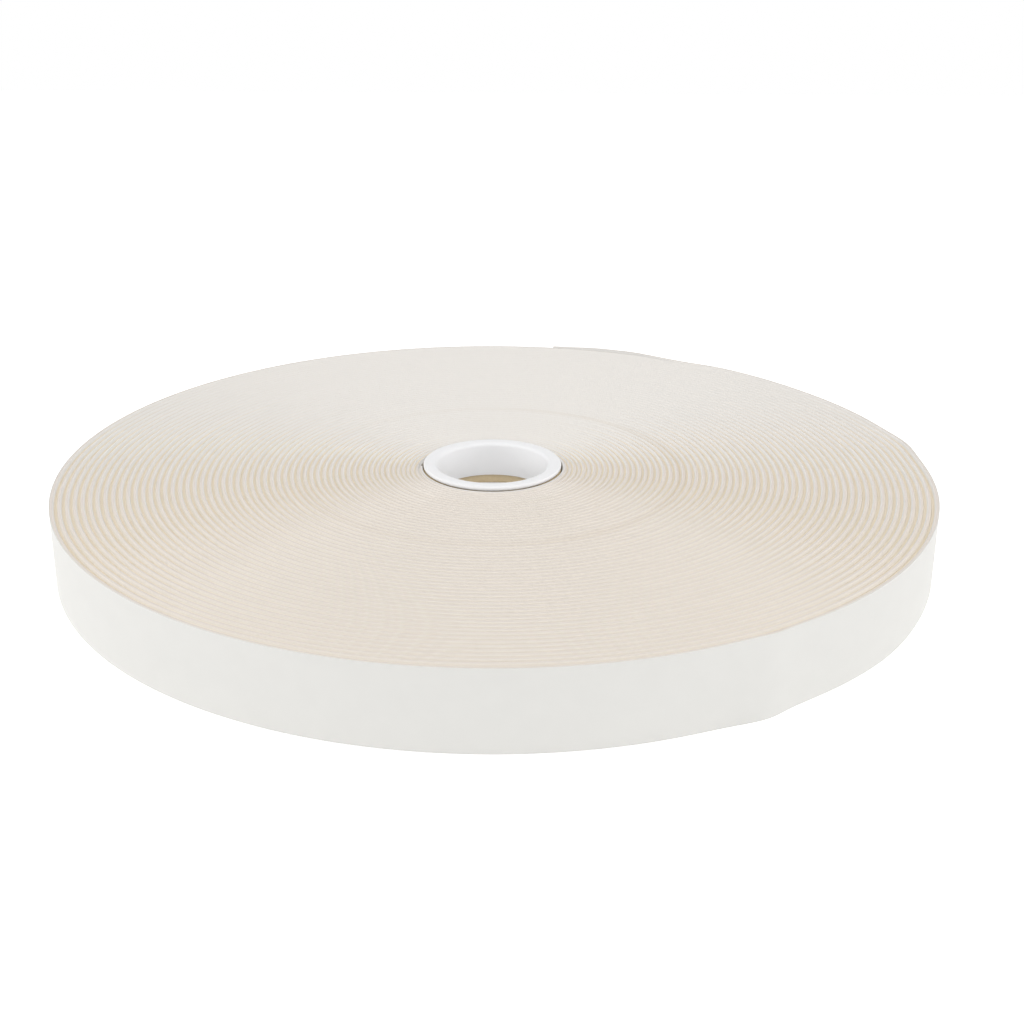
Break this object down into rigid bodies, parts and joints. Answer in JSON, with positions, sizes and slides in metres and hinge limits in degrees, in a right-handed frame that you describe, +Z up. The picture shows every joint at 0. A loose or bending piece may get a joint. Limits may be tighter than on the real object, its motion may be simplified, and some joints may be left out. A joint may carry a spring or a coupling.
{
  "type": "hook and loop tape roll",
  "caption": "Roll of white self-adhesive hook and loop fastening tape, wound liner outwards on a kraft board core with moulded end inserts; the free end and its liner peel back.",
  "frame": {"origin": "on the roll's axis at the surface that it lies on", "axes": "+Z up along the roll's axis; seen from above the tape winds outwards anticlockwise and its free end lies near +Y"},
  "size_m": [0.2312, 0.2306, 0.0211],
  "materials": {
    "kraft_board": "matte",
    "insert_plastic": "satin",
    "starter_paper": "matte",
    "loop_cloth": "matte",
    "adhesive_film": "satin",
    "liner_paper": "satin"
  },
  "bodies": {
    "roll": {"core_tube": "kraft_board", "lower_core_insert": "insert_plastic", "upper_core_insert": "insert_plastic", "starter_strip": "starter_paper", "inner_turns": "loop_cloth", "outer_turns": "loop_cloth", "outer_adhesive": "adhesive_film", "outer_liner": "liner_paper"},
    "tail": {"tail_tape": "loop_cloth", "tail_adhesive": "adhesive_film", "tail_liner": "liner_paper"},
    "peeled_liner": {"liner_tip": "liner_paper"}
  },
  "joints": [
    {"name": "tail_peel", "type": "hinge", "parent": "roll", "child": "tail", "pos_m": [0.05696, 0.1015, 0], "axis": [0, 0, -1], "range_deg": [0, 100]},
    {"name": "liner_peel", "type": "hinge", "parent": "tail", "child": "peeled_liner", "pos_m": [0.03888, 0.11103, 0], "axis": [0, 0, -1], "range_deg": [0, 115]}
  ]
}
